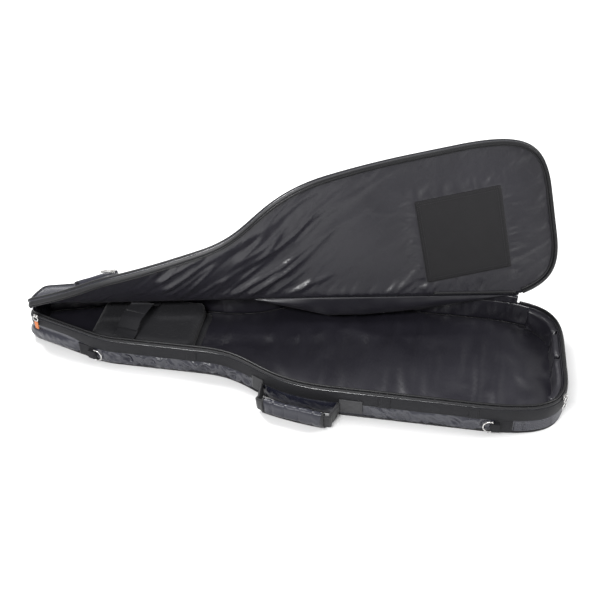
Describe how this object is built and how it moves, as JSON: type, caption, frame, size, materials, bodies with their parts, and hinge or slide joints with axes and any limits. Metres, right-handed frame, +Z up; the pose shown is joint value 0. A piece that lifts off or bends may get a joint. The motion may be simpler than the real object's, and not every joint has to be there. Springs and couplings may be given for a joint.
{
  "type": "padded gig bag",
  "caption": "Long padded soft case for a bass guitar, with a zip-open lid folded up from a walled tray, neck rest, hook-and-loop strap, outer pockets, carrying handle and sling rings.",
  "frame": {"origin": "middle of the flat underside, halfway along the plan outline's length", "axes": "+X from the tip to the tail, +Y towards the side that the lid folds to, +Z up from the floor that the bag lies on"},
  "size_m": [1.184, 0.5287, 0.4272],
  "materials": {
    "outer_nylon": "satin coated nylon, puckered",
    "lining_satin": "satin",
    "webbing": "woven, matte",
    "zip_coil": "satin moulded coil",
    "padding": "matte woven pad cover",
    "patch_cloth": "matte plain weave",
    "nickel": "polished nickel",
    "tag_leather": "smooth",
    "badge_rubber": "matte, blank"
  },
  "bodies": {
    "tray": {"back_panel": "outer_nylon", "floor_lining": "lining_satin", "base_piping": "webbing", "wall_tip": "outer_nylon", "wall_near": "outer_nylon", "wall_tail": "outer_nylon", "wall_far": "outer_nylon", "gusset_upper_far": "outer_nylon", "rim_webbing": "webbing", "rim_piping": "webbing", "zip_tape_lower": "webbing", "zip_coil_lower": "zip_coil", "front_panel_strip": "outer_nylon", "neck_rest_base": "padding", "neck_rest_block": "padding", "neck_strap_near": "webbing", "neck_strap_arch": "webbing", "tail_bumper_near": "padding", "tail_bumper_middle": "padding", "tail_bumper_far": "padding", "tail_guard": "webbing", "d_ring_band_body": "webbing", "d_ring_tab_body": "webbing", "d_ring_band_neck": "webbing", "d_ring_tab_neck": "webbing", "handle_anchor_left": "webbing", "handle_anchor_right": "webbing"},
    "lid_body": {"lid_panel_body": "outer_nylon", "lid_gusset_body": "outer_nylon", "zip_coil_upper_body": "zip_coil", "lining_patch": "patch_cloth", "main_pocket": "outer_nylon", "main_pocket_zip": "zip_coil", "badge_blank": "badge_rubber"},
    "lid_shoulder": {"lid_panel_shoulder": "outer_nylon", "lid_gusset_shoulder": "outer_nylon", "zip_coil_upper_shoulder": "zip_coil"},
    "lid_neck": {"lid_panel_neck": "outer_nylon", "lid_gusset_neck": "outer_nylon", "zip_coil_upper_neck": "zip_coil", "neck_pocket": "outer_nylon", "neck_pocket_zip": "zip_coil"},
    "lid_tip": {"lid_panel_tip": "outer_nylon", "lid_gusset_tip": "outer_nylon", "zip_coil_upper_tip": "zip_coil"},
    "tip_slider": {"tip_slider": "nickel"},
    "tip_pull": {"tip_link": "nickel", "tip_tag": "tag_leather"},
    "tail_slider": {"tail_slider": "nickel"},
    "tail_pull": {"tail_pull_link": "nickel", "tail_pull_ring": "nickel"},
    "main_pocket_slider": {"main_pocket_slider": "nickel"},
    "main_pocket_pull": {"main_pocket_pull": "nickel"},
    "neck_pocket_slider": {"neck_pocket_slider": "nickel"},
    "neck_pocket_pull": {"neck_pocket_pull": "nickel"},
    "handle": {"handle_webbing": "webbing", "handle_grip": "padding"},
    "d_ring_body": {"d_ring_body": "nickel"},
    "d_ring_neck": {"d_ring_neck": "nickel"},
    "neck_strap_flap": {"neck_strap_flap": "webbing"}
  },
  "joints": [
    {"name": "lid_hinge", "type": "hinge", "parent": "tray", "child": "lid_body", "pos_m": [-0.587, -0.031, 0.095], "axis": [-0.9821, -0.1883, 0], "range_deg": [-109, 36]},
    {"name": "lid_shoulder_twist", "type": "hinge", "parent": "lid_body", "child": "lid_shoulder", "pos_m": [-0.587, -0.031, 0.095], "axis": [-0.9821, -0.1883, 0], "range_deg": [-7, 21.01]},
    {"name": "lid_neck_twist", "type": "hinge", "parent": "lid_body", "child": "lid_neck", "pos_m": [-0.587, -0.031, 0.095], "axis": [-0.9821, -0.1883, 0], "range_deg": [-14.6, 44.01]},
    {"name": "lid_tip_twist", "type": "hinge", "parent": "lid_body", "child": "lid_tip", "pos_m": [-0.587, -0.031, 0.095], "axis": [-0.9821, -0.1883, 0], "range_deg": [-17.6, 53.01]},
    {"name": "tip_slider_run", "type": "slide", "parent": "tray", "child": "tip_slider", "axis": [0.9539, -0.3002, 0], "range_m": [0, 0.12]},
    {"name": "tip_pull_swing", "type": "hinge", "parent": "tip_slider", "child": "tip_pull", "pos_m": [-0.57071, -0.05933, 0.0754], "axis": [-0.9539, 0.3002, 0], "range_deg": [0, 150]},
    {"name": "tail_slider_run", "type": "slide", "parent": "tray", "child": "tail_slider", "axis": [0.5496, 0.8354, 0], "range_m": [0, 0.02]},
    {"name": "tail_pull_swing", "type": "hinge", "parent": "tail_slider", "child": "tail_pull", "pos_m": [0.58325, -0.12892, 0.0714], "axis": [-0.5496, -0.8354, 0], "range_deg": [0, 150]},
    {"name": "main_pocket_slider_run", "type": "slide", "parent": "lid_body", "child": "main_pocket_slider", "axis": [0.953, 0.2452, 0.1781], "range_m": [0, 0.11]},
    {"name": "main_pocket_pull_swing", "type": "hinge", "parent": "main_pocket_slider", "child": "main_pocket_pull", "pos_m": [0.19419, 0.22832, 0.37055], "axis": [0.1781, -0.9286, 0.3256], "range_deg": [0, 120]},
    {"name": "neck_pocket_slider_run", "type": "slide", "parent": "lid_neck", "child": "neck_pocket_slider", "axis": [-0.9795, -0.1068, -0.1707], "range_m": [0, 0.05]},
    {"name": "neck_pocket_pull_swing", "type": "hinge", "parent": "neck_pocket_slider", "child": "neck_pocket_pull", "pos_m": [-0.38412, -0.03064, 0.2022], "axis": [-0.1707, 0.8901, 0.4226], "range_deg": [0, 120]},
    {"name": "handle_swing", "type": "hinge", "parent": "tray", "child": "handle", "pos_m": [-0.03702, -0.16219, 0.04775], "axis": [-0.9835, 0.1812, 0], "range_deg": [0, 70]},
    {"name": "d_ring_body_swing", "type": "hinge", "parent": "tray", "child": "d_ring_body", "pos_m": [0.44238, -0.18733, 0.021], "axis": [0, 0, 1], "range_deg": [0, 150]},
    {"name": "d_ring_neck_swing", "type": "hinge", "parent": "tray", "child": "d_ring_neck", "pos_m": [-0.4244, -0.10436, 0.021], "axis": [0, 0, -1], "range_deg": [0, 150]},
    {"name": "neck_strap_open", "type": "hinge", "parent": "tray", "child": "neck_strap_flap", "pos_m": [-0.34846, -0.02077, 0.0861], "axis": [-0.982, 0.1889, 0], "range_deg": [0, 70]}
  ],
  "couplings": [
    {"joint": "lid_shoulder_twist", "follows": "lid_hinge", "ratio": -0.19266},
    {"joint": "lid_neck_twist", "follows": "lid_hinge", "ratio": -0.40367},
    {"joint": "lid_tip_twist", "follows": "lid_hinge", "ratio": -0.48624}
  ]
}
